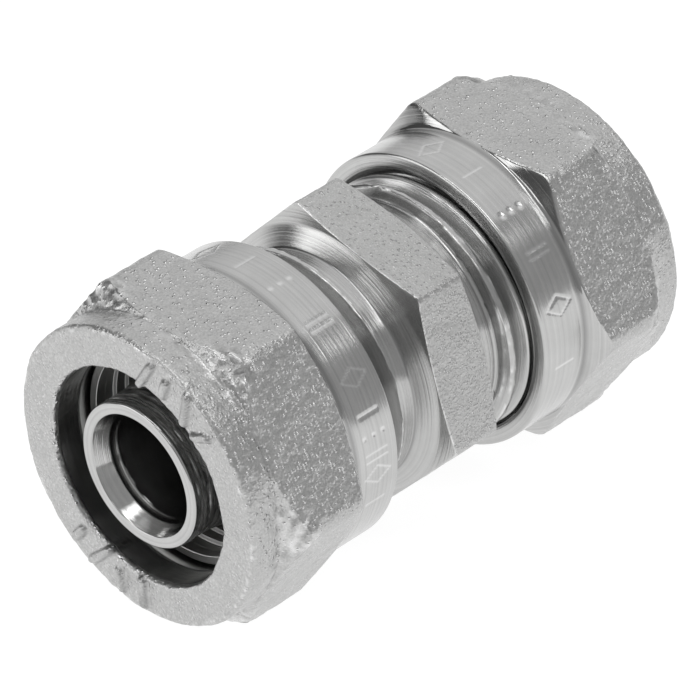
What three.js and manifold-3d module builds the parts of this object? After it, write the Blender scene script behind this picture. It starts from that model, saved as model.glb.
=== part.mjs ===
// Straight compression coupling for 16 x 2 mm multilayer pipe, nickel plated brass.
// A hexagon body carries a hollow nipple and a G 1/2 male thread at each end. At each end a union nut
// squeezes a split ring onto the pipe, two O-rings seal the nipple inside the pipe, and an insulating
// washer keeps the pipe's aluminium layer off the brass.
// Units are millimetres. +X runs along the pipe axis from end a to end b, +Z is up, and the origin is
// the middle of the body. Outlines are lists of (x, radius) points for end b, which end a repeats
// turned half a turn about Z.

import * as THREE from 'three';
import { mergeVertices } from 'three/addons/utils/BufferGeometryUtils.js';
import Module from 'manifold-3d';

const wasm = await Module();
wasm.setup();

// Driving dimensions.
const SEGMENTS = 24;
const PIPE_OUTER = 8.0;
const PIPE_INNER = 6.0;
const HALF_LENGTH = 21.97;
const THREAD_PITCH = 1.814;

// Body.
const BODY_HEX = 21.5;
const BODY_HEX_TURN = THREE.MathUtils.degToRad(11.4);
const BODY_FACED_END = { edge: -2.31, corner: -1.95 };
const BODY_FORGED_END = { edge: 2.75, corner: 2.15 };
const GROOVE_START = 3.23;
const THREAD_START = 5.28;
const THREAD_ROOT = 9.18;
const THREAD_CREST = 10.3;
const BARREL_END = 13.6;
const BARREL_BORE = PIPE_OUTER + 0.15;
const SOCKET_FLOOR = 7.0;

// Nipple.
const NIPPLE_TIP = HALF_LENGTH - 0.28;
const NIPPLE_OUTER = PIPE_INNER - 0.1;
const TIP_START = 18.2;
const TIP_OUTER = 5.75;
const TIP_WALL = 0.9;
const WATERWAY = 4.2;
const NARROW_WATERWAY = { radius: 3.9, end: 2.5 };
const O_RING_PLACES = [12.9, 16.5];
const O_RING_THICKNESS = 1.3;
const O_RING_GROOVE = 4.9;
const O_RING_GROOVE_WIDTH = 1.7;

// Union nut. Depths are measured from its outer face.
const NUT_LENGTH = 14.42;
const NUT_HEX = 23.8;
const NUT_CORNER = 13.6;
const NUT_CAP_DEPTH = 2.6;
const NUT_CHAMFER_DEPTH = 3.9;
const NUT_CONE_DEPTHS = { corner: 9.2, edge: 9.9 };
const NUT_COLLAR_DEPTH = 10.5;
const NUT_COLLAR = 11.8;
const NUT_MOUTH = 10.66;
const NUT_THREAD_DEPTH = 6.77;
const NUT_THREAD_MINOR = 9.45;
const NUT_SEAT = 9.25;
const NUT_SEAT_DEPTHS = { taper: 2.6, full: 4.4, back: 6.2 };
const NUT_HOLE = PIPE_OUTER + 0.6;

// Split ring.
const RING_BORE = PIPE_OUTER + 0.1;
const RING_OUTER = 9.1;
const RING_INNER_END = 13.2;
const RING_OUTER_END = HALF_LENGTH - 3.87;
const RING_TEETH = 3;
const RING_TOOTH_PITCH = 1.2;
const RING_TOOTH_HEIGHT = 0.3;
const RING_SLOT = 2.2;
const RING_SLOT_TURN = THREE.MathUtils.degToRad(40);

// Insulating washer.
const WASHER_THICKNESS = 1.3;
const WASHER_PLAY = 0.1;

// Thread form: a 55 degree thread with its crest cut flat, and the play that lets it turn.
const FLANK_SLOPE = Math.tan(THREE.MathUtils.degToRad(27.5));
const CREST_WIDTH = 0.48;
const THREAD_CREST_PLAY = 0.2;
const THREAD_FLANK_PLAY = 0.08;
const GROOVE_WIDTH = CREST_WIDTH + 2 * THREAD_FLANK_PLAY - 2 * THREAD_CREST_PLAY * FLANK_SLOPE;

const platedBrass = { color: 0xb8b7b3, roughness: 0.38, metalness: 1.0 };
const ringBrass = { color: 0xb0afac, roughness: 0.4, metalness: 1.0 };
const blackRubber = { color: 0x141414, roughness: 0.7, metalness: 0.0 };
const whitePlastic = { color: 0xe6e4dc, roughness: 0.5, metalness: 0.0 };

// A three.js geometry as a manifold solid. Triangles that shrank to nothing are left out.
function solid(geometry) {
  const bare = geometry.clone();
  bare.deleteAttribute('normal');
  bare.deleteAttribute('uv');
  const merged = mergeVertices(bare);
  const corners = merged.index.array;
  const triangles = [];
  for (let first = 0; first < corners.length; first += 3) {
    const [a, b, c] = corners.slice(first, first + 3);
    if (a !== b && b !== c && c !== a) triangles.push(a, b, c);
  }
  const vertProperties = new Float32Array(merged.attributes.position.array);
  const triVerts = new Uint32Array(triangles);
  return new wasm.Manifold(new wasm.Mesh({ numProp: 3, vertProperties, triVerts }));
}

// A manifold solid as a named three.js mesh.
function piece(name, shape, finish) {
  const { vertProperties, triVerts } = shape.getMesh();
  const geometry = new THREE.BufferGeometry();
  geometry.setAttribute('position', new THREE.BufferAttribute(new Float32Array(vertProperties), 3));
  geometry.setIndex(new THREE.BufferAttribute(new Uint32Array(triVerts), 1));
  geometry.computeVertexNormals();
  const mesh = new THREE.Mesh(geometry, new THREE.MeshStandardMaterial(finish));
  mesh.name = name;
  return mesh;
}

// Where an outline point is after part of a turn. A thread's point moves along with the turn, between
// the thread's two ends, and takes its radius from where it has got to.
function placed(point, turn) {
  if (Array.isArray(point)) return point;
  const x = THREE.MathUtils.clamp(point.x + THREAD_PITCH * turn, point.low, point.high);
  return [x, point.radiusAt(x)];
}

// A closed outline turned about the X axis, clockwise from the top as seen from end a.
function turned(outline) {
  const closed = [...outline, outline[0]];
  const points = closed.map((point) => new THREE.Vector2(...placed(point, 0)));
  const geometry = new THREE.LatheGeometry(points, SEGMENTS);
  const position = geometry.attributes.position;
  for (let vertex = 0; vertex < position.count; vertex += 1) {
    const turn = Math.floor(vertex / closed.length) / SEGMENTS;
    const [x, radius] = placed(closed[vertex % closed.length], turn);
    const angle = 2 * Math.PI * turn;
    position.setXYZ(vertex, x, -radius * Math.sin(angle), radius * Math.cos(angle));
  }
  return solid(geometry);
}

// A right-hand thread between low and high, as outline points in the order of x. Each tooth is a
// trapezoid that stands on the radius footAt(x) and reaches the radius crestAt(x).
function threadOutline({ low, high, footWidth, crestWidth, footAt, crestAt }) {
  const points = [];
  const firstTooth = Math.floor((low - footWidth) / THREAD_PITCH);
  const lastTooth = Math.ceil((high + footWidth) / THREAD_PITCH);
  for (let tooth = firstTooth; tooth <= lastTooth; tooth += 1) {
    const middle = THREAD_PITCH * tooth;
    points.push({ x: middle - footWidth / 2, low, high, radiusAt: footAt });
    points.push({ x: middle - crestWidth / 2, low, high, radiusAt: crestAt });
    points.push({ x: middle + crestWidth / 2, low, high, radiusAt: crestAt });
    points.push({ x: middle + footWidth / 2, low, high, radiusAt: footAt });
  }
  return points;
}

// The same outline point on the other end of the body.
function mirrored(point) {
  if (Array.isArray(point)) return [-point[0], point[1]];
  return { x: -point.x, low: -point.high, high: -point.low, radiusAt: (x) => point.radiusAt(-x) };
}

// The hexagonal bar that a body or nut is cut from. At zero turn its flats face up and down.
function hexBar(acrossFlats, turn) {
  const corner = acrossFlats / 2 / Math.cos(Math.PI / 6);
  const geometry = new THREE.CylinderGeometry(corner, corner, 3 * HALF_LENGTH, 6);
  geometry.rotateY(Math.PI / 6 + turn);
  geometry.rotateZ(-Math.PI / 2);
  return solid(geometry);
}

// The male thread, with its first turns cut back to a chamfer at each end.
function maleThread() {
  const high = BARREL_END - 0.1;
  const fullHeight = THREAD_CREST - THREAD_ROOT;
  return threadOutline({
    low: THREAD_START, high,
    footWidth: CREST_WIDTH + 2 * FLANK_SLOPE * fullHeight, crestWidth: CREST_WIDTH,
    footAt: () => THREAD_ROOT,
    crestAt: (x) => THREAD_ROOT + Math.min(fullHeight, 4 * (x - THREAD_START), 1.2 * (high - x)),
  });
}

// The groove of the female thread, which opens through the chamfer at the nut's mouth.
function femaleThread() {
  const groove = THREAD_CREST + THREAD_CREST_PLAY;
  const mouth = HALF_LENGTH - NUT_LENGTH;
  const high = HALF_LENGTH - NUT_THREAD_DEPTH;
  return threadOutline({
    low: mouth + NUT_MOUTH - groove, high,
    footWidth: GROOVE_WIDTH + 2 * FLANK_SLOPE * (groove - NUT_THREAD_MINOR), crestWidth: GROOVE_WIDTH,
    footAt: (x) => Math.max(NUT_THREAD_MINOR, NUT_MOUTH - (x - mouth)),
    crestAt: (x) => Math.min(groove, NUT_THREAD_MINOR + 2 * (high - x)),
  });
}

// The outline of one O-ring groove in the nipple, met on the way towards the nipple's tip.
function grooveOutline(place) {
  const half = O_RING_GROOVE_WIDTH / 2;
  return [
    [place - half, NIPPLE_OUTER], [place - half, O_RING_GROOVE],
    [place + half, O_RING_GROOVE], [place + half, NIPPLE_OUTER],
  ];
}

// Half of the body's turned outline, from the shoulder out along the threaded barrel, back down the
// pipe socket, out along the nipple and back through the waterway.
function halfBodyOutline() {
  return [
    [GROOVE_START, THREAD_ROOT], ...maleThread(), [BARREL_END, THREAD_ROOT - 0.1],
    [BARREL_END, BARREL_BORE + 0.8], [BARREL_END - 1.0, BARREL_BORE],
    [SOCKET_FLOOR, BARREL_BORE], [SOCKET_FLOOR, NIPPLE_OUTER],
    ...O_RING_PLACES.flatMap(grooveOutline),
    [TIP_START, NIPPLE_OUTER], [TIP_START + 0.3, TIP_OUTER], [NIPPLE_TIP - 0.15, TIP_OUTER],
    [NIPPLE_TIP, TIP_OUTER - 0.15], [NIPPLE_TIP, TIP_OUTER - TIP_WALL],
    [NIPPLE_TIP - 1.1, WATERWAY + 0.1], [NIPPLE_TIP - 2.1, WATERWAY + 0.1], [NIPPLE_TIP - 2.2, WATERWAY],
    [NARROW_WATERWAY.end + 0.3, WATERWAY], [NARROW_WATERWAY.end, NARROW_WATERWAY.radius],
  ];
}

function couplingBody() {
  const half = halfBodyOutline();
  const { edge: facedEdge, corner: facedCorner } = BODY_FACED_END;
  const { edge: forgedEdge, corner: forgedCorner } = BODY_FORGED_END;
  const blank = turned([
    [facedEdge, BODY_HEX / 2], [facedCorner, BODY_HEX / 2 + 1.8],
    [forgedCorner, BODY_HEX / 2 + 1.8], [forgedEdge, BODY_HEX / 2],
    ...half, ...half.map(mirrored).reverse(),
  ]);
  return piece('coupling_body', blank.intersect(hexBar(BODY_HEX, BODY_HEX_TURN)), platedBrass);
}

// A union nut, from its mouth over the collar, hexagon and cap to its face, and back inside.
function unionNut(name) {
  const outline = [
    [NUT_LENGTH, NUT_MOUTH], [NUT_LENGTH, NUT_COLLAR - 0.15], [NUT_LENGTH - 0.15, NUT_COLLAR],
    [NUT_COLLAR_DEPTH, NUT_COLLAR], [NUT_CONE_DEPTHS.edge, NUT_COLLAR + 0.15],
    [NUT_CONE_DEPTHS.corner, NUT_CORNER], [NUT_CHAMFER_DEPTH, NUT_CORNER],
    [NUT_CAP_DEPTH, NUT_COLLAR], [0.45, NUT_COLLAR], [0, NUT_COLLAR - 0.25],
    [0, NUT_HOLE + 0.2], [0.2, NUT_HOLE], [NUT_SEAT_DEPTHS.taper, NUT_HOLE],
    [NUT_SEAT_DEPTHS.full, NUT_SEAT], [NUT_SEAT_DEPTHS.back, NUT_SEAT],
    [NUT_SEAT_DEPTHS.back + 0.2, NUT_THREAD_MINOR],
  ];
  const fromMiddle = outline.map(([depth, radius]) => [HALF_LENGTH - depth, radius]);
  const blank = turned([...fromMiddle, ...femaleThread().reverse()]);
  return piece(name, blank.intersect(hexBar(NUT_HEX, 0)), platedBrass);
}

// The split ring, whose bore is cut back between the teeth that grip the pipe. Its slot lets it close.
function splitRing(name) {
  const relief = RING_BORE + RING_TOOTH_HEIGHT;
  const reliefs = Array.from({ length: RING_TEETH }, (_, count) => {
    const start = RING_OUTER_END - 0.9 - RING_TOOTH_PITCH * count;
    const end = start - RING_TOOTH_PITCH + 0.1;
    return [[start, RING_BORE], [start - 0.1, relief], [end + 0.1, relief], [end, RING_BORE]];
  });
  const ring = turned([
    [RING_INNER_END, RING_BORE], [RING_INNER_END, RING_OUTER - 0.65],
    [RING_INNER_END + 0.8, RING_OUTER], [RING_OUTER_END - 0.7, RING_OUTER],
    [RING_OUTER_END, RING_OUTER - 0.35], [RING_OUTER_END, RING_BORE], ...reliefs.flat(),
  ]);
  const length = RING_OUTER_END - RING_INNER_END;
  const slot = new THREE.BoxGeometry(2 * length, RING_SLOT, 4);
  slot.translate(RING_INNER_END + length / 2, 0, -(RING_BORE + RING_OUTER) / 2);
  slot.rotateX(-RING_SLOT_TURN);
  return piece(name, ring.subtract(solid(slot)), ringBrass);
}

function oRing(name, place) {
  const radius = O_RING_THICKNESS / 2;
  const centre = O_RING_GROOVE + 0.1 + radius;
  const geometry = new THREE.TorusGeometry(centre, radius, 6, SEGMENTS);
  geometry.rotateY(Math.PI / 2);
  geometry.translate(place, 0, 0);
  return piece(name, solid(geometry), blackRubber);
}

function insulatingWasher(name) {
  const near = SOCKET_FLOOR + WASHER_PLAY;
  const far = near + WASHER_THICKNESS;
  const inner = NIPPLE_OUTER + WASHER_PLAY;
  const outer = BARREL_BORE - WASHER_PLAY;
  return piece(name, turned([[near, inner], [near, outer], [far, outer], [far, inner]]), whitePlastic);
}

// Everything that slips over the nipple at one end.
function endPieces(letter) {
  const group = new THREE.Group();
  group.add(unionNut(`union_nut_${letter}`));
  group.add(splitRing(`split_ring_${letter}`));
  group.add(insulatingWasher(`insulating_washer_${letter}`));
  O_RING_PLACES.forEach((place, count) => {
    group.add(oRing(`o_ring_${letter}${count + 1}`, place));
  });
  return group;
}

const coupling = new THREE.Group();
const endA = endPieces('a');
endA.rotation.z = Math.PI;
coupling.add(couplingBody(), endA, endPieces('b'));

export default coupling;
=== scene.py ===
"""The visible model of a straight compression coupling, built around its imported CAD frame.

Lengths in the script are millimetres and angles degrees. MM turns them into Blender's metres where a
mesh, light or camera is made. The coupling's axis is X, +Z is up, and the origin is its middle.
Every turned or forged piece is one closed skin: rows of points follow the piece's outline and columns
run round the axis. Pieces of one end are modelled at end a, whose outer face looks along -X, and are
turned half a turn about Z for end b. Their angles run clockwise from the top as seen from outside.
"""

import itertools
import math
from dataclasses import dataclass

import bmesh
import bpy
import numpy as np
from mathutils import Matrix, Quaternion, Vector


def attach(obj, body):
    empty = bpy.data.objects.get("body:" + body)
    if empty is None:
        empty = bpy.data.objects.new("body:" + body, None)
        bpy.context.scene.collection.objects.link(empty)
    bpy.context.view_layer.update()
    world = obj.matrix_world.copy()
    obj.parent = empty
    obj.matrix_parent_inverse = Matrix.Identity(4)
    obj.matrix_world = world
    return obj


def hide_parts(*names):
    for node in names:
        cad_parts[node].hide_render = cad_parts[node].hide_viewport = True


MM = 0.001

# The coupling.
HALF_LENGTH = 21.97
THREAD_PITCH = 1.814
PIPE_OUTER = 8.0
PIPE_INNER = 6.0

# Body.
BODY_HEX = 21.5
BODY_HEX_TURN = 11.4
BODY_CORNER_ROUNDING = 0.35
FACED_END_X = -2.31
FACED_END_SLOPE = 0.2
FORGED_END_X = 2.75
FORGED_END_SLOPE = -1 / 3
BODY_ROWS = (3, 2, 9, 7, 40, 6, 7, 2, 3)
GROOVE_START = 3.23
THREAD_START = 5.28
THREAD_ROOT = 9.18
THREAD_CREST = 10.3
BARREL_END = 13.6
BARREL_BORE = PIPE_OUTER + 0.15
SOCKET_FLOOR = 7.0

# Nipple.
NIPPLE_TIP = HALF_LENGTH - 0.28
NIPPLE_OUTER = PIPE_INNER - 0.1
TIP_OUTER = 5.75
TIP_START = 18.2
TIP_TAPER_END = 18.5
ROUGH_START = 18.7
TIP_CHAMFER = 0.12
TIP_WALL = 0.9
WATERWAY = 4.2
NARROW_WATERWAY = WATERWAY - 0.3
NARROW_END = 2.5
NARROW_TAPER = 0.3
BORE_BURR_DEPTH = 2.1
O_RING_PLACES = (12.9, 16.5)
O_RING_THICKNESS = 1.3
O_RING_GROOVE = 4.9
O_RING_GROOVE_WIDTH = 1.7

# Union nut. Depths are measured from its outer face.
NUT_LENGTH = 14.42
NUT_HEX = 23.8
NUT_CORNER_ROUNDING = 1.5
NUT_CAP = 11.82
NUT_CAP_DEPTH = 2.6
NUT_CAP_SLOPE = 0.78
NUT_COLLAR = 11.8
NUT_COLLAR_DEPTH = 10.5
NUT_CONE_DEPTH = 9.9
NUT_CONE_SLOPE = -0.48
NUT_MOUTH = 10.66
NUT_THREAD_MINOR = 9.45
NUT_THREAD_DEPTH = 6.77
NUT_SEAT = 9.25
NUT_SEAT_BACK_DEPTH = 6.2
NUT_SEAT_FULL_DEPTH = 4.4
NUT_HOLE = PIPE_OUTER + 0.6
NUT_HOLE_DEPTH = 2.5
NUT_MARKS_DEPTH = 12.3
CODE_RADIUS = 9.9
CODE_HEIGHT = 0.38
COLLAR_MARK_HEIGHT = 0.05
NUT_ROWS = (3, 3, 18, 4, 14, 12, 40, 7, 4, 46, 2, 3)

# Split ring and insulating washer.
RING_BORE = PIPE_OUTER + 0.1
RING_OUTER = 9.1
RING_OUTER_END = HALF_LENGTH - 3.87
RING_INNER_END = 13.2
RING_TEETH = 3
RING_TOOTH_PITCH = 1.2
RING_TOOTH_HEIGHT = 0.3
RING_SLOT = 2.2
RING_SLOT_TURN = 220
WASHER_THICKNESS = 1.3
WASHER_PLAY = 0.1

# Thread form.
FLANK_SLOPE = math.tan(math.radians(27.5))
CREST_WIDTH = 0.48
CREST_PLAY = 0.2
FLANK_PLAY = 0.08
ROW_PLACES = np.array([0, 0.10, 0.145, 0.18, 0.25, 0.38, 0.43, 0.47])

# Columns round the axis.
NUT_COLUMNS = 504
NUT_INSIDE_COLUMNS = 168
BODY_COLUMNS = 360
THREAD_COLUMNS = 216
NIPPLE_COLUMNS = 108
RING_COLUMNS = 240

# The noise repeats after this many features.
LATTICE = 48

# What each point of a skin is painted with, including a bright painted highlight on burrs and painted shade
# in hollows.
PAINTS = ("forged", "worn", "burr", "soil")

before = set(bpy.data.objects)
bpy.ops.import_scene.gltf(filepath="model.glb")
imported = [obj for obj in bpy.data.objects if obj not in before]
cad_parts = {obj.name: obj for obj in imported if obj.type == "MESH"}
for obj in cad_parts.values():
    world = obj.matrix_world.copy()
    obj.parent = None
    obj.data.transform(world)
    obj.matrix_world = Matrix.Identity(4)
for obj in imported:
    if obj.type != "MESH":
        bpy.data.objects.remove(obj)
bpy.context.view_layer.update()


# Camera and light.


def aimed(thing, place, target, roll=0):
    """Puts a camera or lamp at a place and points it at a target."""
    thing.location = Vector(place) * MM
    facing = (Vector(target) - Vector(place)).to_track_quat("-Z", "Y")
    thing.rotation_euler = (facing @ Quaternion((0, 0, 1), math.radians(roll))).to_euler()
    bpy.context.scene.collection.objects.link(thing)
    return thing


def camera():
    """A long lens that looks down on end a from its -Y side."""
    data = bpy.data.cameras.new("camera")
    data.sensor_width = 36.0
    data.lens = 279.2
    data.clip_start = 10 * MM
    data.clip_end = 100_000 * MM
    place, target = (-225.2, -221.0, 235.1), (-0.39, 0.11, -0.33)
    bpy.context.scene.camera = aimed(bpy.data.objects.new("camera", data), place, target)


def softbox(name, place, size, radiance, roll=0):
    """A rectangular lamp at a place, facing the coupling, as bright as its radiance."""
    width, height = size
    data = bpy.data.lights.new(name, "AREA")
    data.shape = "RECTANGLE"
    data.size = width * MM
    data.size_y = height * MM
    data.energy = radiance * math.pi * width * height * MM * MM
    aimed(bpy.data.objects.new(name, data), place, (0, 0, 0), roll)


def surroundings():
    """A dim room that gives the metal its dark bands, darkest low down beyond end a on the +Y side."""
    world = bpy.data.worlds.new("room")
    world.use_nodes = True
    tree = world.node_tree
    direction = tree.nodes.new("ShaderNodeTexCoord").outputs["Generated"]
    towards = tree.nodes.new("ShaderNodeVectorMath")
    towards.operation = "DOT_PRODUCT"
    towards.inputs[1].default_value = (0.5, -0.6, 0.62)
    tree.links.new(direction, towards.inputs[0])
    shade = tree.nodes.new("ShaderNodeMapRange")
    shade.interpolation_type = "SMOOTHSTEP"
    away_end, towards_end = -0.6, 0.3
    dimmest, brightest = 0.10, 0.43
    for socket, value in zip(list(shade.inputs)[1:5], (away_end, towards_end, dimmest, brightest)):
        socket.default_value = value
    tree.links.new(towards.outputs["Value"], shade.inputs["Value"])
    background = tree.nodes["Background"]
    background.inputs["Color"].default_value = (1, 1, 1, 1)
    tree.links.new(shade.outputs[0], background.inputs["Strength"])
    bpy.context.scene.world = world


def studio():
    """Soft lamps in a dim room."""
    softbox("strip", (-57, -93, 700), (1300, 130), 3.6, roll=-18)
    softbox("left", (-705, 520, 195), (590, 380), 1.9)
    softbox("front", (-600, -20, 375), (340, 150), 2.6)
    softbox("panel", (514, 432, 603), (1500, 1500), 0.48)
    surroundings()
    bpy.context.scene.view_settings.view_transform = "Standard"


def table():
    """The table top under the nuts' lower flats, dark grey but made pale by painted light: it glows, and
    less so far from a place at -Y.
    """
    data = bpy.data.meshes.new("table_top")
    half, height = 1500 * MM, -(NUT_HEX / 2 + 0.06) * MM
    corners = [(x * half, y * half, height) for x, y in ((-1, -1), (1, -1), (1, 1), (-1, 1))]
    data.from_pydata(corners, [], [(0, 1, 2, 3)])
    top = bpy.data.objects.new("table_top", data)
    bpy.context.scene.collection.objects.link(top)
    graph = Graph("table_glow")
    space, _ = graph.places()
    lit_from = {0: space, 1: (230, -330, 0)}
    distance = graph.node("ShaderNodeVectorMath", lit_from, operation="DISTANCE").outputs["Value"]
    # Painted light: the glow fades from 0.92 to 0.25 between 470 and 680 mm from a place at -Y.
    falloff = graph.node(
        "ShaderNodeMapRange", {"Value": distance, 1: 470.0, 2: 680.0, 3: 0.92, 4: 0.25},
        interpolation_type="SMOOTHSTEP",
    ).outputs[0]
    data.materials.append(graph.finish(
        0.0, Base_Color=grey(0.2), Roughness=0.9, Emission_Color=grey(1),
        Emission_Strength=falloff,
    ))


# Skins: grids of points round the axis.


@dataclass
class Skin:
    """Rows of (x, radius) along an outline, with one column for each step round the axis.

    The first and last columns are the same place. paint holds the share, from 0 to 1, to which each
    point is forged rather than turned, worn smooth, a burr painted bright as a highlight, or darkened by
    painted shade.
    """

    x: np.ndarray
    radius: np.ndarray
    paint: dict


def skin(x, radius, columns, **paint):
    """A skin from rows that may be the same in every column."""
    rows = len(x)

    def grid(values):
        values = np.asarray(values, float)
        if values.ndim == 1:
            values = values[:, None]
        return np.broadcast_to(values, (rows, columns + 1)).copy()

    return Skin(grid(x), grid(radius), {label: grid(paint.get(label, 0.0)) for label in PAINTS})


def turns(columns):
    """The angle of each column, in radians."""
    return np.linspace(0, 2 * math.pi, columns + 1)


def points_of(x, radius):
    """Points in space of a grid of x and radius, clockwise from the top as seen from end a."""
    turn = turns(x.shape[1] - 1)
    return np.stack([x, -radius * np.sin(turn), radius * np.cos(turn)], axis=-1)


def noise(points, size, seed):
    """Smooth noise between -1 and 1 in space, with features about size millimetres wide."""
    lattice = np.random.default_rng(seed).uniform(-1, 1, (LATTICE, LATTICE, LATTICE))
    place = points / size
    cell = np.floor(place).astype(int)
    part = place - cell
    part = part * part * (3 - 2 * part)
    total = np.zeros(points.shape[:-1])
    for corner in itertools.product((0, 1), repeat=3):
        weight = np.prod(np.where(corner, part, 1 - part), axis=-1)
        i, j, k = np.moveaxis((cell + corner) % LATTICE, -1, 0)
        total += weight * lattice[i, j, k]
    return total


def rounded(outline, rounding=0.08):
    """The rows of an outline of (x, radius) corners, each corner rounded and given a guard row."""
    rows = [outline[0]]
    for before, corner, after in zip(outline, outline[1:], outline[2:]):
        here = np.array(corner)
        back, on = np.array(before) - here, np.array(after) - here
        reach = min(rounding, 0.3 * np.linalg.norm(back), 0.3 * np.linalg.norm(on))
        back, on = back / np.linalg.norm(back), on / np.linalg.norm(on)
        rows.append(here + 1.4 * reach * back)
        rows.append(here + reach * back)
        rows.append(here + 0.25 * reach * (back + on))
        rows.append(here + reach * on)
        rows.append(here + 1.4 * reach * on)
    return np.array([*rows, outline[-1]], float)


def turned(outline, columns, **paint):
    """The skin of a turned outline."""
    rows = rounded(outline)
    return skin(rows[:, 0], rows[:, 1], columns, **paint)


def softened(grid, passes=2):
    """Smooths a grid of rows along the outline, which rounds its edges."""
    for _ in range(passes):
        grid[1:-1] = (grid[:-2] + 2 * grid[1:-1] + grid[2:]) / 4
    return grid


def raised(x, radius, height):
    """The grid moved out along the outline's normal by a height."""
    along, out = np.gradient(x, axis=0), np.gradient(radius, axis=0)
    length = np.maximum(np.hypot(along, out), 1e-9)
    return x - height * out / length, radius + height * along / length


def bridge(last, first):
    """Faces between two neighbouring rings, which may have different numbers of columns."""
    shared = math.gcd(len(last) - 1, len(first) - 1)
    a, b = (len(last) - 1) // shared, (len(first) - 1) // shared
    return [
        [*last[k * a : (k + 1) * a + 1], *first[k * b : (k + 1) * b + 1][::-1]] for k in range(shared)
    ]


def closed_mesh(name, skins):
    """One watertight mesh from skins joined in order, with the last joined to the first."""
    points, faces, rims, start = [], [], [], 0
    for part in skins:
        rows, across = part.x.shape
        points.append(points_of(part.x, part.radius).reshape(-1, 3))
        index = start + np.arange(rows * across).reshape(rows, across)
        quads = np.stack([index[:-1, :-1], index[:-1, 1:], index[1:, 1:], index[1:, :-1]], axis=-1)
        faces += quads.reshape(-1, 4).tolist()
        rims.append((index[0].tolist(), index[-1].tolist()))
        start += rows * across
    for (_, last), (first, _) in zip(rims, rims[1:] + rims[:1]):
        faces += bridge(last, first)
    data = bpy.data.meshes.new(name)
    data.from_pydata((np.concatenate(points) * MM).tolist(), [], faces)
    for label in PAINTS:
        values = np.concatenate([part.paint[label].ravel() for part in skins])
        data.attributes.new(label, "FLOAT", "POINT").data.foreach_set("value", values)
    weld(data)
    return data


def weld(data):
    """Joins points that are in the same place, and shades the mesh smooth."""
    edit = bmesh.new()
    edit.from_mesh(data)
    bmesh.ops.remove_doubles(edit, verts=edit.verts, dist=2e-4 * MM)
    edit.to_mesh(data)
    edit.free()
    data.shade_smooth()


def shown(name, data, material, body, stands_for, far_end=False):
    """Puts a mesh in the scene as a piece that rides on a CAD body in place of a CAD node."""
    if far_end:
        data.transform(Matrix.Rotation(math.pi, 4, "Z"))
    data.materials.append(material)
    piece = bpy.data.objects.new(name, data)
    bpy.context.scene.collection.objects.link(piece)
    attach(piece, body)
    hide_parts(stands_for)


# Shapes that the nut and the body share.


def hexagon(columns, across_flats, turn, rounding):
    """The radius of a hexagonal bar in each column, with rounded corners."""
    half = across_flats / 2
    angle = (turns(columns) - math.radians(turn)) % math.radians(60)
    from_flat = np.abs(angle - math.radians(60) * (angle > math.radians(30)))
    from_corner = math.radians(30) - from_flat
    flat = half / np.cos(from_flat)
    centre = (half - rounding) / math.cos(math.radians(30))
    across = centre * np.sin(from_corner)
    arc = centre * np.cos(from_corner) + np.sqrt(np.maximum(rounding**2 - across**2, 0))
    tangent = math.atan2(rounding / 2, centre + rounding * math.cos(math.radians(30)))
    return np.where(from_corner < tangent, arc, flat)


def eased(count):
    """Steps from 0 up to but not including 1, closer together near both ends."""
    step = np.arange(count) / count
    return 0.5 * step + 0.25 * (1 - np.cos(math.pi * step))


def stretches(stations, counts, columns):
    """Rows between stations of (x, radius), where either may differ from column to column."""
    xs, radii = [], []
    for (x0, r0), (x1, r1), count in zip(stations, stations[1:], counts):
        step = eased(count)[:, None]
        blank = np.zeros(columns + 1)
        xs.append((x0 + blank) * (1 - step) + (x1 + blank) * step)
        radii.append((r0 + blank) * (1 - step) + (r1 + blank) * step)
    xs.append((stations[-1][0] + blank)[None])
    radii.append((stations[-1][1] + blank)[None])
    return np.concatenate(xs), np.concatenate(radii)


def forging(points, seed):
    """The uneven surface of a hot forging, in millimetres."""
    dents = 0.030 * noise(points, 2.6, seed) + 0.025 * noise(points, 1.0, seed + 1)
    return dents + 0.026 * noise(points, 0.5, seed + 2) + 0.018 * noise(points, 0.26, seed + 3)


def thread_rows(low, high, columns, fixed):
    """x of each point of a thread's rows, which advance one pitch per turn between low and high.

    Rows at the fixed places, which don't advance, are sorted in among them.
    """
    places = np.unique(np.concatenate([-ROW_PLACES, ROW_PLACES, [0.5]]))
    first, last = math.floor(low / THREAD_PITCH) - 1, math.ceil(high / THREAD_PITCH) + 1
    steps = np.concatenate([place + places for place in range(first, last + 1)])
    advancing = THREAD_PITCH * (steps[:, None] + turns(columns) / (2 * math.pi))
    steady = np.repeat(np.array(fixed, float)[:, None], columns + 1, axis=1)
    return np.sort(np.clip(np.concatenate([advancing, steady]), low, high), axis=0)


def off_tooth(x):
    """How far each point of a thread is from the middle of its tooth, along the axis."""
    turn = turns(x.shape[1] - 1) / (2 * math.pi)
    return np.abs((x / THREAD_PITCH - turn + 0.5) % 1 - 0.5) * THREAD_PITCH


def tooth(x, foot_width, crest_width):
    """How far up its tooth each point of a thread is, from 0 at the root to 1 at the crest."""
    up = (foot_width / 2 - off_tooth(x)) / (foot_width / 2 - crest_width / 2)
    return np.interp(up, (-0.22, -0.08, 0.08, 0.22, 0.86, 0.96, 1.08), (0, 0.02, 0.1, 0.24, 0.86, 0.97, 1))


# Body.


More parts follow.
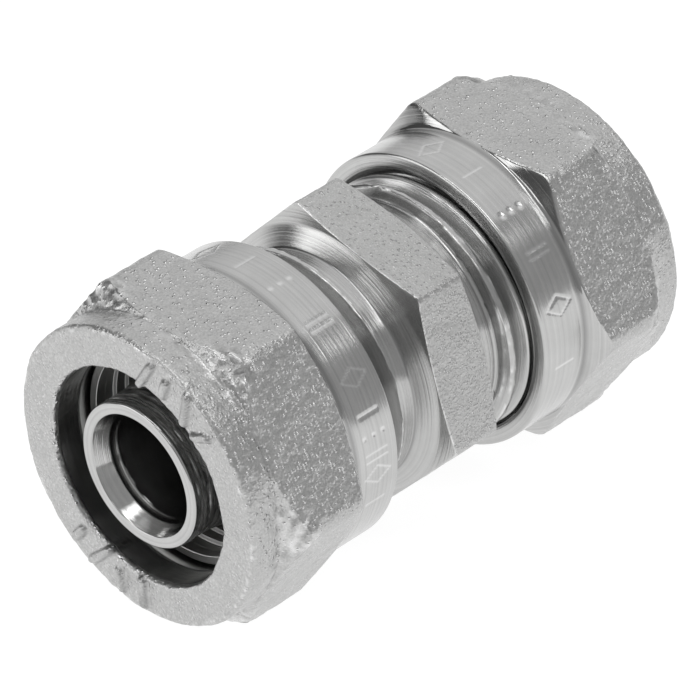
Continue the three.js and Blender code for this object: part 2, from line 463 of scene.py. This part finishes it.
def male_thread(low, high):
    """The thread between two places on the barrel. Its first turn has a torn crest, painted bright as a
    highlight.
    """
    wall = np.sign(low) * (THREAD_START + np.array([0.02, 0.05, 0.08, 0.12, 0.17, 0.24]))
    x = thread_rows(low, high, THREAD_COLUMNS, wall)
    full = THREAD_CREST - THREAD_ROOT
    foot_width = CREST_WIDTH + 2 * FLANK_SLOPE * full
    from_middle = np.abs(x)
    limit = np.minimum(14 * (from_middle - THREAD_START), 1.2 * (BARREL_END - 0.1 - from_middle))
    up = tooth(x, foot_width, CREST_WIDTH)
    height = np.minimum(full * up, limit)
    torn_until, fade = 6.9, 0.5
    first_turn = np.clip((torn_until - from_middle) / fade, 0, 1)
    crest_edge = np.exp(-(((off_tooth(x) - CREST_WIDTH / 2) / 0.07) ** 2))
    start_edge = np.exp(-(((from_middle - THREAD_START - 0.1) / 0.06) ** 2)) * np.clip(3 * up - 0.6, 0, 1)
    burr = np.maximum(first_turn * crest_edge, start_edge) * np.clip(height / 0.3, 0, 1)
    points = points_of(x, THREAD_ROOT + height)
    torn = noise(points, 0.45, 31) + 0.6 * noise(points, 0.2, 32)
    height = np.maximum(height + burr * (0.01 + 0.05 * torn), 0)
    # Painted highlight on the torn crest and the thread's start edge, and painted shade in the roots.
    bright = burr * np.clip(0.2 + 1.2 * torn, 0, 1)
    return skin(x, THREAD_ROOT + height, THREAD_COLUMNS, burr=bright, soil=0.3 * (1 - up))


def body_middle():
    """The forged hexagon between two turned shoulders. The end towards end a was faced on a lathe."""
    half = BODY_HEX / 2
    bar = hexagon(BODY_COLUMNS, BODY_HEX, BODY_HEX_TURN, BODY_CORNER_ROUNDING)
    faced = FACED_END_X + (bar - half) * FACED_END_SLOPE
    forged_end = FORGED_END_X + (bar - half) * FORGED_END_SLOPE
    stations = [
        (-THREAD_START + 0.3, THREAD_ROOT), (-GROOVE_START - 0.12, THREAD_ROOT),
        (-GROOVE_START, THREAD_ROOT + 0.1), (FACED_END_X, half - 0.02),
        (faced, bar), (forged_end, bar), (FORGED_END_X, half),
        (GROOVE_START, THREAD_ROOT + 0.1), (GROOVE_START + 0.12, THREAD_ROOT),
        (THREAD_START - 0.3, THREAD_ROOT),
    ]
    x, radius = stretches(stations, BODY_ROWS, BODY_COLUMNS)
    x, radius = softened(x, 1), softened(radius, 1)
    rows = np.arange(len(x))
    faced_row, forged_row = sum(BODY_ROWS[:4]), sum(BODY_ROWS[:6])
    on_flat = softened(np.where((rows > faced_row) & (rows <= forged_row), 1.0, 0.0))[:, None]
    points = points_of(x, radius)
    faced_edge = np.exp(-(((rows - faced_row - 0.5) / 0.9) ** 2))[:, None]
    torn = np.maximum(noise(points, 0.35, 41), -0.2)
    height = on_flat * 0.7 * forging(points, 51) + faced_edge * 0.03 * torn
    x, radius = raised(x, radius, height)
    # The faced edge's torn burr is painted bright as a highlight, and painted shade darkens the corner at
    # each groove's end by the shoulder.
    bright = faced_edge * np.clip(0.5 + torn, 0, 1)
    groove_corner_shade = np.exp(-(((np.abs(x) - GROOVE_START - 0.05) / 0.08) ** 2)) * 0.6
    return skin(x, radius, BODY_COLUMNS, forged=on_flat, burr=bright, soil=groove_corner_shade)


def groove_outline(place):
    """One O-ring groove in the nipple, met on the way towards the nipple's tip."""
    half = O_RING_GROOVE_WIDTH / 2
    return [
        (place - half, NIPPLE_OUTER), (place - half, O_RING_GROOVE),
        (place + half, O_RING_GROOVE), (place + half, NIPPLE_OUTER),
    ]


def half_outline():
    """The body's outline from the barrel's end into the socket and out to the rough tip."""
    return [
        (BARREL_END - 0.1, THREAD_ROOT), (BARREL_END, THREAD_ROOT - 0.1),
        (BARREL_END, BARREL_BORE + 0.8), (BARREL_END - 1.0, BARREL_BORE),
        (SOCKET_FLOOR, BARREL_BORE), (SOCKET_FLOOR, NIPPLE_OUTER),
        *[corner for place in O_RING_PLACES for corner in groove_outline(place)],
        (TIP_START, NIPPLE_OUTER), (TIP_TAPER_END, TIP_OUTER), (ROUGH_START, TIP_OUTER),
    ]


def tip_outline():
    """The nipple's flat rim, its polished inner chamfer and half of the waterway."""
    return [
        (NIPPLE_TIP - TIP_CHAMFER, TIP_OUTER), (NIPPLE_TIP, TIP_OUTER - TIP_CHAMFER),
        (NIPPLE_TIP, TIP_OUTER - TIP_WALL),
        (NIPPLE_TIP - 1.3, WATERWAY + 0.1), (NIPPLE_TIP - 1.9, WATERWAY + 0.08),
    ]


def bore_outline():
    """Half of the waterway, from the end of its burr to the middle of the body."""
    return [
        (NIPPLE_TIP - BORE_BURR_DEPTH - 0.2, WATERWAY), (NARROW_END + NARROW_TAPER, WATERWAY),
        (NARROW_END, NARROW_WATERWAY), (0, NARROW_WATERWAY),
    ]


def bore_burr():
    """A thin torn burr round the waterway where the tip's larger bore ends."""
    half_width = 0.12
    depth = np.linspace(BORE_BURR_DEPTH - half_width, BORE_BURR_DEPTH + half_width, 7)
    x = NIPPLE_TIP - depth[:, None] + np.zeros(NIPPLE_COLUMNS + 1)
    radius = np.full(x.shape, WATERWAY + 0.02)
    points = points_of(x, radius)
    torn = np.clip(0.1 + noise(points, 1.4, 71) + 0.5 * noise(points, 0.4, 72), 0, 1)
    # The burr is painted bright as a highlight, and the waterway is darkened with painted shade.
    ridge = np.exp(-(((x - NIPPLE_TIP + BORE_BURR_DEPTH) / 0.05) ** 2)) * torn
    return skin(x, radius - 0.07 * ridge, NIPPLE_COLUMNS, burr=0.6 * ridge, soil=0.55)


def rough_tip():
    """The coarsely turned outside of the nipple's tip."""
    row_spacing, line_height = 0.075, 0.06
    rows = np.arange(ROUGH_START, NIPPLE_TIP - TIP_CHAMFER, row_spacing)
    x = np.repeat(rows[:, None], NIPPLE_COLUMNS + 1, axis=1)
    radius = np.full(x.shape, TIP_OUTER)
    points = points_of(x, radius)
    lines = noise(points * (1, 0.1, 0.1), 0.16, 61) + 0.7 * noise(points * (1, 0.4, 0.4), 0.24, 62)
    along = (x - ROUGH_START) / (NIPPLE_TIP - ROUGH_START - 0.2)
    fade = np.minimum(1, 3 * np.sin(math.pi * along).clip(0))
    # Painted highlight on the turned ridges and painted shade in the grooves between them.
    return skin(
        x, radius + line_height * lines * fade, NIPPLE_COLUMNS,
        burr=np.clip(1.6 * lines, 0, 1), soil=np.clip(-lines, 0, 0.7),
    )


def other_end(part):
    """The same skin turned half a turn about Z, in the reverse order."""
    def flipped(grid):
        return grid[::-1, ::-1]
    paint = {label: flipped(values) for label, values in part.paint.items()}
    return Skin(-flipped(part.x), flipped(part.radius), paint)


def body_mesh():
    """The body's closed skin, from one socket floor round the outside to the other and back inside."""
    # The bore of the waterway is darkened with painted shade.
    right = [
        turned(half_outline(), NIPPLE_COLUMNS), rough_tip(), turned(tip_outline(), NIPPLE_COLUMNS, worn=0.6),
        bore_burr(), turned(bore_outline(), NIPPLE_COLUMNS, soil=0.55),
    ]
    left = [other_end(part) for part in reversed(right)]
    high = BARREL_END - 0.1
    outside = [male_thread(-high, -THREAD_START), body_middle(), male_thread(THREAD_START, high)]
    return closed_mesh("coupling_body_fine", [*outside, *right, *left])


# Union nut.


def stroke(distance, width):
    """1 on a line of a given width and 0 off it, with sloping sides."""
    return np.clip((width / 2 - distance) / 0.10 + 0.5, 0, 1)


def lozenge(across, along):
    """The outline of a lozenge."""
    half_width, half_length = 0.75, 1.2
    from_outline = np.abs(np.abs(across) / half_width + np.abs(along) / half_length - 1)
    return stroke(from_outline * 0.65, 0.14)


def double_tick(across, along):
    """Two strokes side by side."""
    beside = np.abs(np.abs(across) - 0.3)
    return stroke(np.hypot(beside, np.maximum(np.abs(along) - 1.0, 0)), 0.15)


def dot_triplet(across, along):
    """Three dots in a row."""
    spacing = 0.9
    spread = np.abs(np.abs(along) - spacing * (np.abs(along) > 0.22))
    return stroke(np.hypot(across, spread), 0.42)


def dash(across, along):
    """One stroke."""
    return stroke(np.hypot(across, np.maximum(np.abs(along) - 0.9, 0)), 0.17)


def marks(x, radius, places, centre_depth, shapes):
    """Rolled-in marks round the collar, each at an angle, in turn one of several plain shapes."""
    turn = turns(x.shape[1] - 1)
    depth = np.zeros(x.shape)
    for count, place in enumerate(places):
        away = (turn - math.radians(place) + math.pi) % (2 * math.pi) - math.pi
        shape = shapes[count % len(shapes)]
        depth = np.maximum(depth, shape(away * radius, x + HALF_LENGTH - centre_depth))
    return depth


def face_marks(radius, places):
    """How far up each point is on the long and short bars cast into the nut's face."""
    turn = turns(radius.shape[1] - 1)
    up = np.zeros(radius.shape)
    for count, place in enumerate(places):
        away = (turn - math.radians(place) + math.pi) % (2 * math.pi) - math.pi
        beyond = radius - CODE_RADIUS - 0.2 * (count % 3)
        lean = 0.4 * (count % 3 - 1) * beyond
        half_length = 0.55 if count % 2 else 0.95
        reach = np.hypot(away * radius + lean, np.maximum(np.abs(beyond) - half_length, 0))
        up = np.maximum(up, np.clip((0.52 - reach) / 0.34, 0, 1))
    return up * up * (3 - 2 * up)


def nut_stations(bar, seed):
    """The (x, radius) stations of the nut's outside, from the hole's edge to the mouth."""
    edge = points_of(np.zeros((1, NUT_COLUMNS + 1)), np.full((1, NUT_COLUMNS + 1), NUT_HOLE))
    ragged = 0.07 * noise(edge, 1.6, seed)[0] + 0.03 * noise(edge, 0.6, seed + 1)[0]
    wavy = 0.11 * noise(edge, 1.9, seed + 2)[0] + 0.05 * noise(edge, 0.7, seed + 3)[0]
    cap_end = NUT_CAP_DEPTH + np.maximum(bar - NUT_CAP, 0.06) * NUT_CAP_SLOPE
    cone_start = NUT_CONE_DEPTH + (bar - NUT_HEX / 2) * NUT_CONE_SLOPE
    by_depth = [
        (0.45, NUT_HOLE), (0.14 + ragged, NUT_HOLE + 0.03), (0.0, NUT_HOLE + 0.20 + ragged),
        (0.0, NUT_CAP - 0.26 + wavy), (0.24 + wavy, NUT_CAP), (NUT_CAP_DEPTH, NUT_CAP),
        (cap_end, bar), (cone_start, bar), (NUT_CONE_DEPTH + 0.05, NUT_HEX / 2),
        (NUT_COLLAR_DEPTH, NUT_COLLAR), (NUT_LENGTH - 0.15, NUT_COLLAR),
        (NUT_LENGTH, NUT_COLLAR - 0.15), (NUT_LENGTH, NUT_MOUTH),
    ]
    return [(depth - HALF_LENGTH, radius) for depth, radius in by_depth], cap_end


def nut_folds(depth, bar, cap_end):
    """How far each point is on the folded metal round the hexagon's chamfer, most at its corners."""
    on_corner = np.clip((bar - 12.2) / 0.8, 0, 1)
    near_chamfer = np.exp(-((depth - cap_end + 0.3) ** 2))
    return np.maximum(0.3, on_corner) * near_chamfer * (depth > 1.2)


def nut_wrinkles(points, seed):
    """Noise between about -1.7 and 1.7, drawn out round the axis, for the folded metal."""
    crosswise = points * (1, 0.6, 0.6)
    return noise(crosswise, 0.42, seed + 4) + 0.7 * noise(crosswise, 0.24, seed + 5)


def nut_outside(seed, collar_places, code_places):
    """The nut's face, cap, forged hexagon and turned collar, from the hole's edge to the mouth."""
    bar = hexagon(NUT_COLUMNS, NUT_HEX, 0, NUT_CORNER_ROUNDING)
    stations, cap_end = nut_stations(bar, seed)
    x, radius = stretches(stations, NUT_ROWS, NUT_COLUMNS)
    x, radius = softened(x), softened(radius)
    depth = x + HALF_LENGTH
    points = points_of(x, radius)

    rows = np.arange(len(x))
    forged = softened(np.where(rows < sum(NUT_ROWS[:7]), 1.0, 0.0), 3)[:, None]
    folds = nut_folds(depth, bar, cap_end)
    wrinkles = nut_wrinkles(points, seed)
    height = forged * (forging(points, seed + 6) + 0.13 * folds * wrinkles)

    on_face = (depth < 0.5) & (radius < NUT_CAP - 0.1)
    code = face_marks(radius, code_places) * on_face * (1 + 0.3 * noise(points, 0.6, seed + 12))
    collar = marks(x, radius, collar_places, NUT_MARKS_DEPTH, (lozenge, dash, dot_triplet, double_tick))
    collar *= depth > NUT_COLLAR_DEPTH
    height += CODE_HEIGHT * code - COLLAR_MARK_HEIGHT * collar

    torn = noise(points, 0.35, seed + 20) + 0.5 * noise(points, 0.18, seed + 21)
    rim = np.exp(-(((rows - sum(NUT_ROWS[:3])) / 1.6) ** 2)) + np.exp(-(((rows - 3) / 1.3) ** 2))
    # Painted highlights: the torn rims, the edges of the collar marks and the crests of the folds are
    # painted bright.
    burr = rim[:, None] * np.clip(0.9 * torn, 0, 1) + 0.6 * collar
    burr += 0.9 * folds * np.clip(0.2 + 0.8 * wrinkles, 0, 1)
    # Painted shade round the sides of the face marks, on the cone next to the collar and in the troughs of
    # the folds.
    soil = 1.8 * code * (1 - code) + np.exp(-(((depth - NUT_CONE_DEPTH - 0.3) / 0.25) ** 2)) * 0.5
    soil += folds * np.clip(-0.3 - wrinkles, 0, 0.5)
    on_cone = (rows >= sum(NUT_ROWS[:7])) & (rows < sum(NUT_ROWS[:8]) + 2)
    worn = np.maximum(0.4 * (depth < 0.3), 0.8 * folds) + on_cone[:, None]
    x, radius = raised(x, radius, height + 0.03 * rim[:, None] * torn)
    return skin(
        x, radius, NUT_COLUMNS, forged=forged, worn=worn.clip(0, 1),
        burr=burr.clip(0, 1), soil=soil.clip(0, 1),
    )


def female_thread():
    """The nut's thread, in the order from the mouth inwards."""
    groove = THREAD_CREST + CREST_PLAY
    crest_width = CREST_WIDTH + 2 * FLANK_PLAY - 2 * CREST_PLAY * FLANK_SLOPE
    foot_width = crest_width + 2 * FLANK_SLOPE * (groove - NUT_THREAD_MINOR)
    mouth = NUT_LENGTH - HALF_LENGTH
    chamfer_rows = mouth - np.arange(0.3, 1.3, 0.3)
    x = thread_rows(NUT_THREAD_DEPTH - HALF_LENGTH, mouth - 0.15, NUT_INSIDE_COLUMNS, chamfer_rows)
    base = np.maximum(NUT_THREAD_MINOR, NUT_MOUTH + (x - mouth))
    run_out = 2 * (x - NUT_THREAD_DEPTH + HALF_LENGTH)
    height = np.minimum((groove - NUT_THREAD_MINOR) * tooth(x, foot_width, crest_width), run_out)
    radius = np.maximum(base, NUT_THREAD_MINOR + height)
    # The thread inside the nut is darkened with painted shade.
    return skin(x[::-1], radius[::-1], NUT_INSIDE_COLUMNS, soil=0.4)


def nut_mesh(name, seed, collar_places, code_places):
    """The nut's closed skin."""
    by_depth = [
        (NUT_THREAD_DEPTH - 0.05, NUT_THREAD_MINOR), (NUT_SEAT_BACK_DEPTH + 0.2, NUT_THREAD_MINOR),
        (NUT_SEAT_BACK_DEPTH, NUT_SEAT), (NUT_SEAT_FULL_DEPTH, NUT_SEAT),
        (NUT_HOLE_DEPTH + 0.22, NUT_HOLE + 0.02), (NUT_HOLE_DEPTH + 0.14, NUT_HOLE - 0.05),
        (NUT_HOLE_DEPTH, NUT_HOLE), (0.6, NUT_HOLE),
    ]
    inside = turned([(depth - HALF_LENGTH, radius) for depth, radius in by_depth], NUT_INSIDE_COLUMNS)
    outside = nut_outside(seed, collar_places, code_places)
    return closed_mesh(name, [outside, female_thread(), inside])


# Small pieces.


def split_ring_mesh(name):
    """The ring that grips the pipe, with three teeth inside and a slot that lets it close."""
    start, end = -RING_OUTER_END, -RING_INNER_END
    groove = RING_BORE + RING_TOOTH_HEIGHT
    teeth = []
    for count in range(RING_TEETH):
        crest = start + 0.9 + RING_TOOTH_PITCH * count
        teeth += [(crest, RING_BORE), (crest + 0.1, groove), (crest + 1.0, groove), (crest + 1.1, RING_BORE)]
    rows = rounded([
        (start, RING_BORE + 0.35), (start, RING_OUTER - 0.35), (start + 0.7, RING_OUTER),
        (end - 0.8, RING_OUTER), (end, RING_OUTER - 0.65), (end, RING_BORE), *teeth[::-1],
        (start, RING_BORE), (start, RING_BORE + 0.35),
    ], 0.05)[:-1]
    half_slot = RING_SLOT / (RING_BORE + RING_OUTER)
    turn = math.radians(RING_SLOT_TURN) + np.linspace(half_slot, 2 * math.pi - half_slot, RING_COLUMNS)
    x = np.repeat(rows[:, :1], RING_COLUMNS, 1)
    points = np.stack([x, -rows[:, 1:] * np.sin(turn), rows[:, 1:] * np.cos(turn)], axis=-1)
    count = len(rows)
    index = np.arange(count * RING_COLUMNS).reshape(count, RING_COLUMNS)
    after = np.roll(index, -1, axis=0)
    quads = np.stack([index[:, :-1], index[:, 1:], after[:, 1:], after[:, :-1]], axis=-1)
    ends = [index[:, 0].tolist(), index[::-1, -1].tolist()]
    data = bpy.data.meshes.new(name)
    data.from_pydata((points.reshape(-1, 3) * MM).tolist(), [], quads.reshape(-1, 4).tolist() + ends)
    weld(data)
    return data


def o_ring_mesh(name, place):
    """A rubber ring of round section in its groove."""
    section = O_RING_THICKNESS / 2
    around = np.radians(np.arange(0, 360, 15))
    x = -place - section * np.cos(around)
    radius = O_RING_GROOVE + 0.1 + section + section * np.sin(around)
    return closed_mesh(name, [skin(x, radius, NIPPLE_COLUMNS)])


def washer_mesh(name):
    """The insulating washer on the socket's floor."""
    near = -SOCKET_FLOOR - WASHER_PLAY
    far = near - WASHER_THICKNESS
    inner, outer = NIPPLE_OUTER + WASHER_PLAY, BARREL_BORE - WASHER_PLAY
    middle = (inner + outer) / 2
    rows = [(far, middle), (far, outer), (near, outer), (near, inner), (far, inner), (far, middle)]
    return closed_mesh(name, [turned(rows, NIPPLE_COLUMNS)])


# Materials. Their textures are sized in millimetres.


def grey(value):
    """A neutral colour."""
    return (value, value, value, 1)


class Graph:
    """A material's nodes, made and joined in one call each."""

    def __init__(self, name):
        self.material = bpy.data.materials.new(name)
        self.material.use_nodes = True
        self.tree = self.material.node_tree
        self.surface = self.tree.nodes["Principled BSDF"]

    def node(self, kind, inputs=(), **settings):
        """A node with its settings and inputs, which are numbers, colours or other nodes' outputs."""
        made = self.tree.nodes.new(kind)
        for setting, value in settings.items():
            setattr(made, setting, value)
        for key, value in dict(inputs).items():
            self.feed(made.inputs[key], value)
        return made

    def feed(self, socket, value):
        """Joins another node's output to an input, or sets its value."""
        if isinstance(value, bpy.types.NodeSocket):
            self.tree.links.new(value, socket)
        else:
            socket.default_value = value

    def math(self, operation, a, b):
        """The result of an operation on two numbers."""
        return self.node("ShaderNodeMath", {0: a, 1: b}, operation=operation).outputs[0]

    def mix(self, share, a, b):
        """a where share is 0 and b where it is 1, for numbers."""
        made = self.node("ShaderNodeMix", {0: share, 2: a, 3: b}, data_type="FLOAT")
        return made.outputs[0]

    def blend(self, share, a, b):
        """a where share is 0 and b where it is 1, for colours."""
        made = self.node("ShaderNodeMix", {0: share, 6: a, 7: b}, data_type="RGBA")
        return made.outputs[2]

    def noise(self, place, size, detail=2.0, roughness=0.5):
        """Noise between about 0 and 1 with features about size millimetres wide."""
        inputs = {"Vector": place, "Scale": 1 / size, "Detail": detail, "Roughness": roughness}
        return self.node("ShaderNodeTexNoise", inputs).outputs["Fac"]

    def stretched(self, value):
        """The middle of a noise's range spread out over 0 to 1."""
        inputs = {"Value": value, 1: 0.35, 2: 0.65, 3: 0.0, 4: 1.0}
        return self.node("ShaderNodeMapRange", inputs).outputs[0]

    def pimples(self, place, size):
        """Small round bumps of many heights up to 1, in most of the cells of a random pattern."""
        cells = self.node("ShaderNodeTexVoronoi", {"Vector": place, "Scale": 1 / size})
        inputs = {"Value": cells.outputs["Distance"], 1: 0.05, 2: 0.6, 3: 1.0, 4: 0.0}
        domes = self.node("ShaderNodeMapRange", inputs, interpolation_type="SMOOTHSTEP").outputs[0]
        lot = self.node("ShaderNodeSeparateColor", {"Color": cells.outputs["Color"]}).outputs[0]
        tall = self.node("ShaderNodeMapRange", {"Value": lot, 1: 0.3, 2: 1.0, 3: 0.0, 4: 1.0}).outputs[0]
        return self.math("MULTIPLY", domes, self.math("POWER", tall, 1.5))

    def attribute(self, name):
        """One of the mesh's paints."""
        return self.node("ShaderNodeAttribute", attribute_name=name).outputs["Fac"]

    def places(self):
        """Places on the object in millimetres, in space and as (x, radius) for lathe marks."""
        here = self.node("ShaderNodeTexCoord").outputs["Object"]
        scale = {0: here, 1: (1000, 1000, 1000)}
        space = self.node("ShaderNodeVectorMath", scale, operation="MULTIPLY").outputs[0]
        flat = self.node("ShaderNodeVectorMath", {0: space, 1: (0, 1, 1)}, operation="MULTIPLY")
        radius = self.node("ShaderNodeVectorMath", {0: flat.outputs[0]}, operation="LENGTH").outputs["Value"]
        x = self.node("ShaderNodeSeparateXYZ", {0: space}).outputs["X"]
        lathe = self.node("ShaderNodeCombineXYZ", {"X": x, "Y": radius}).outputs[0]
        return space, lathe

    def finish(self, height, **inputs):
        """Joins the surface's inputs and a height in millimetres, and returns the material."""
        bump = self.node("ShaderNodeBump", {"Height": height, "Distance": MM, "Strength": 1.0})
        self.feed(self.surface.inputs["Normal"], bump.outputs[0])
        for key, value in inputs.items():
            self.feed(self.surface.inputs[key.replace("_", " ")], value)
        return self.material


def plated(name, grain, grain_height):
    """Nickel plated brass: grainy where it was forged, with fine rings where it was turned, and with painted
    glints, painted highlights and painted shade in its colour.
    """
    graph = Graph(name)
    space, lathe = graph.places()
    forged, worn, burr, soil = (graph.attribute(label) for label in PAINTS)

    coarse = graph.noise(space, grain, 3.0, 0.5)
    pimples = graph.pimples(space, 0.75 * grain)
    grains = graph.mix(0.6, coarse, pimples)
    full_grains = graph.math("MULTIPLY", grains, grain_height)
    grain_left = graph.math("MULTIPLY", full_grains, graph.mix(worn, 1.0, 0.25))
    rings = graph.stretched(graph.noise(lathe, 0.28, 3.0, 0.8))
    scratches = graph.noise(space, 0.15, 3.0, 0.6)
    turned_marks = graph.math("MULTIPLY", graph.mix(0.15, rings, scratches), graph.mix(worn, 0.009, 0.004))

    tone = graph.noise(space, 2.2, 4.0, 0.6)
    rough_turned = graph.mix(worn, graph.mix(tone, 0.15, 0.28), 0.10)
    rough_forged = graph.mix(pimples, 0.38, 0.12)
    roughness = graph.mix(burr, graph.mix(forged, rough_turned, rough_forged), 0.20)

    plain = graph.blend(tone, (0.47, 0.47, 0.465, 1), (0.61, 0.61, 0.605, 1))
    streaked = graph.blend(graph.math("MULTIPLY", rings, 0.35), plain, grey(0.30))
    mottle = graph.stretched(graph.noise(space, 0.4 * grain, 2.0, 0.6))
    mottled = graph.blend(graph.math("MULTIPLY", mottle, 0.5), plain, grey(0.30))
    # Painted glints: the pimples' tops are painted brighter than the metal round them.
    glint_speckled = graph.blend(graph.math("MULTIPLY", pimples, 0.7), mottled, grey(0.85))
    base_colour = graph.blend(forged, streaked, glint_speckled)
    # Painted shade darkens the hollows, roots and bores, and painted highlights brighten burrs, ridges and
    # the crests of folds.
    painted_shade_colour = graph.blend(soil, base_colour, grey(0.10))
    colour = graph.blend(graph.math("MULTIPLY", burr, 0.85), painted_shade_colour, grey(0.82))

    tangent = graph.node("ShaderNodeTangent", direction_type="RADIAL", axis="X").outputs[0]
    return graph.finish(
        graph.mix(forged, turned_marks, grain_left), Base_Color=colour, Metallic=1.0, Roughness=roughness,
        Anisotropic=graph.mix(forged, 0.65, 0.0), Anisotropic_Rotation=0.25, Tangent=tangent,
    )


def ring_brass():
    """The split ring's turned brass under a thin grey plating."""
    graph = Graph("split_ring_brass")
    space, lathe = graph.places()
    rings = graph.noise(lathe, 0.15, 4.0, 0.7)
    tone = graph.noise(space, 1.5, 3.0, 0.6)
    colour = graph.blend(tone, (0.50, 0.50, 0.49, 1), (0.64, 0.64, 0.63, 1))
    return graph.finish(
        graph.math("MULTIPLY", rings, 0.01), Base_Color=colour, Metallic=1.0,
        Roughness=graph.mix(tone, 0.24, 0.4),
    )


def rubber():
    """Black seal rubber."""
    graph = Graph("seal_rubber")
    space, _ = graph.places()
    grain = graph.noise(space, 0.12, 3.0, 0.6)
    return graph.finish(
        graph.math("MULTIPLY", grain, 0.01), Base_Color=(0.02, 0.02, 0.021, 1),
        Roughness=graph.mix(grain, 0.45, 0.65),
    )


def white_plastic():
    """Matte white plastic."""
    graph = Graph("insulating_plastic")
    space, _ = graph.places()
    grain = graph.noise(space, 0.2, 3.0, 0.6)
    return graph.finish(
        graph.math("MULTIPLY", grain, 0.008), Base_Color=(0.80, 0.79, 0.75, 1),
        Roughness=graph.mix(grain, 0.4, 0.6),
    )


# The coupling.


def coupling():
    """Every piece, in place of its CAD node."""
    body_metal = plated("plated_brass_body", 0.26, 0.17)
    nut_metal = plated("plated_brass_nut", 0.36, 0.18)
    brass, seal, plastic = ring_brass(), rubber(), white_plastic()
    shown("body_fine", body_mesh(), body_metal, "body", "coupling_body")
    collar_places = {
        "a": (-26.6, -6.6, 10.4, 30.4, 52.4, 66, 74, 82, 90, 102.4),
        "b": (8.6, -11.4, -31.4, -48.4, -69.4, -93.4),
    }
    code_places = (8, 19, 31, 43, 177, 190, 203, 216)
    for letter, far_end in (("a", False), ("b", True)):
        nut = nut_mesh(f"nut_{letter}", 100 + 50 * far_end, collar_places[letter], code_places)
        shown(
            f"nut_{letter}_fine", nut, nut_metal,
            f"nut_{letter}", f"union_nut_{letter}", far_end,
        )
        shown(
            f"ring_{letter}_fine", split_ring_mesh(f"ring_{letter}"), brass,
            f"ring_{letter}", f"split_ring_{letter}", far_end,
        )
        shown(
            f"washer_{letter}_fine", washer_mesh(f"washer_{letter}"), plastic,
            "body", f"insulating_washer_{letter}", far_end,
        )
        for count, place in enumerate(O_RING_PLACES, start=1):
            name = f"o_ring_{letter}{count}"
            shown(f"{name}_fine", o_ring_mesh(name, place), seal, "body", name, far_end)


camera()
studio()
table()
coupling()
